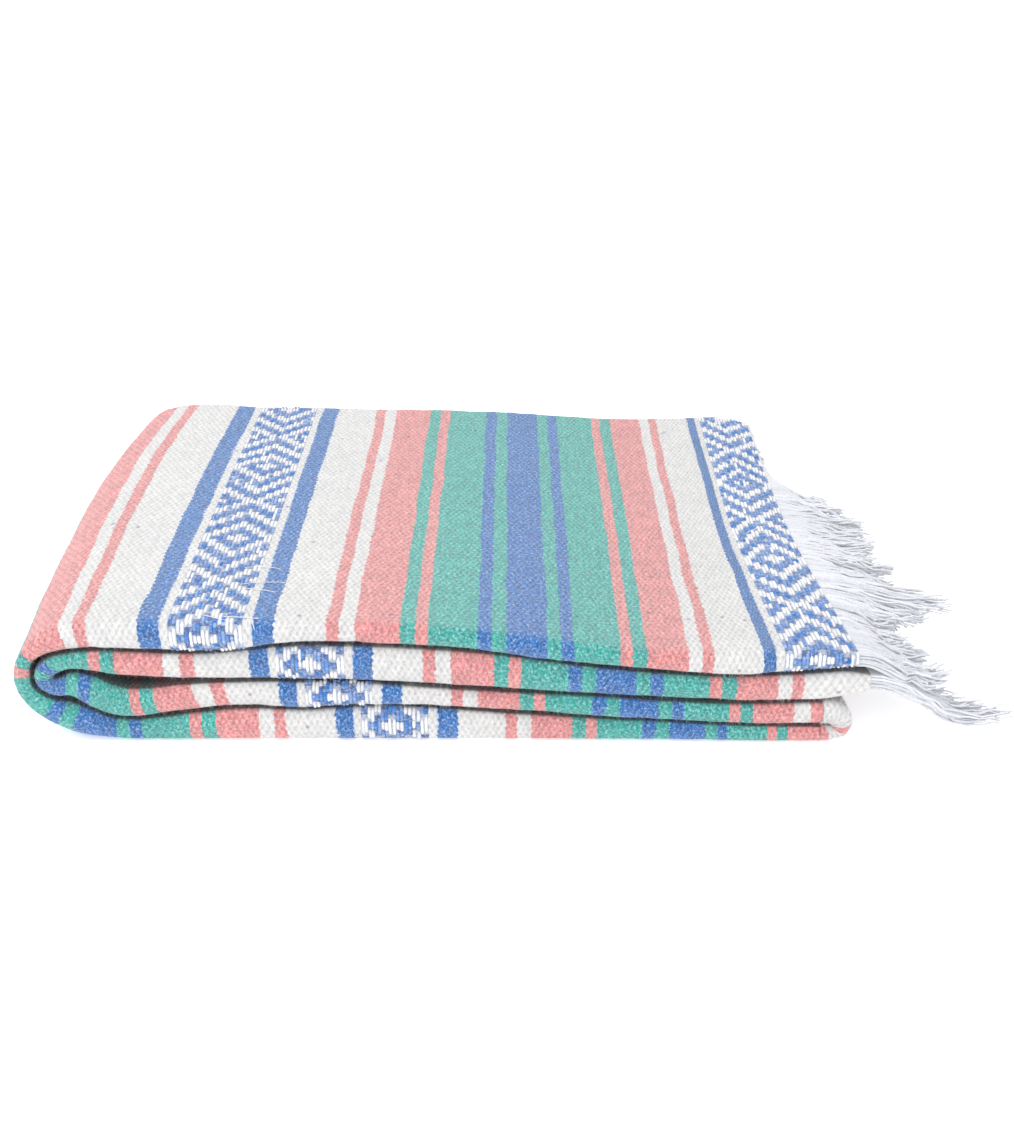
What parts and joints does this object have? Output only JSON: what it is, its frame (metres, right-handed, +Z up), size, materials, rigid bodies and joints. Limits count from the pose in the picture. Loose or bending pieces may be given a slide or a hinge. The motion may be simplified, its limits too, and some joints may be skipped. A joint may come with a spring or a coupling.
{
  "type": "folded mexican blanket",
  "caption": "Mexican falsa blanket of thick woven cloth with coloured stripes and a zigzag diamond band, folded into a flat rectangular pile with yarn fringe at the right side.",
  "frame": {"origin": "on the surface the pile rests on, half way along the cloth's folded depth", "axes": "+X along the blanket's length, towards the side with the fringe; +Y to the back, where the first fold lies; +Z up out of the pile"},
  "size_m": [0.5351, 0.318, 0.0748],
  "materials": {
    "striped_cloth": "weft-faced wool-like weave, matt and slightly fuzzy, in bands of coral pink, white, mint green and blue",
    "layered_edge": "the same cloth seen on edge, matt and soft, in pale heathered layers",
    "fringe_yarn": "loose matt off-white yarn with a few dark fibres"
  },
  "bodies": {
    "root": {"outer_cloth": "striped_cloth", "outer_layers": "layered_edge", "right_fold_cloth": "striped_cloth", "right_fold_layers": "layered_edge", "inner_cloth": "striped_cloth", "inner_layers": "layered_edge", "top_fringe": "fringe_yarn", "second_fringe": "fringe_yarn"}
  },
  "joints": []
}
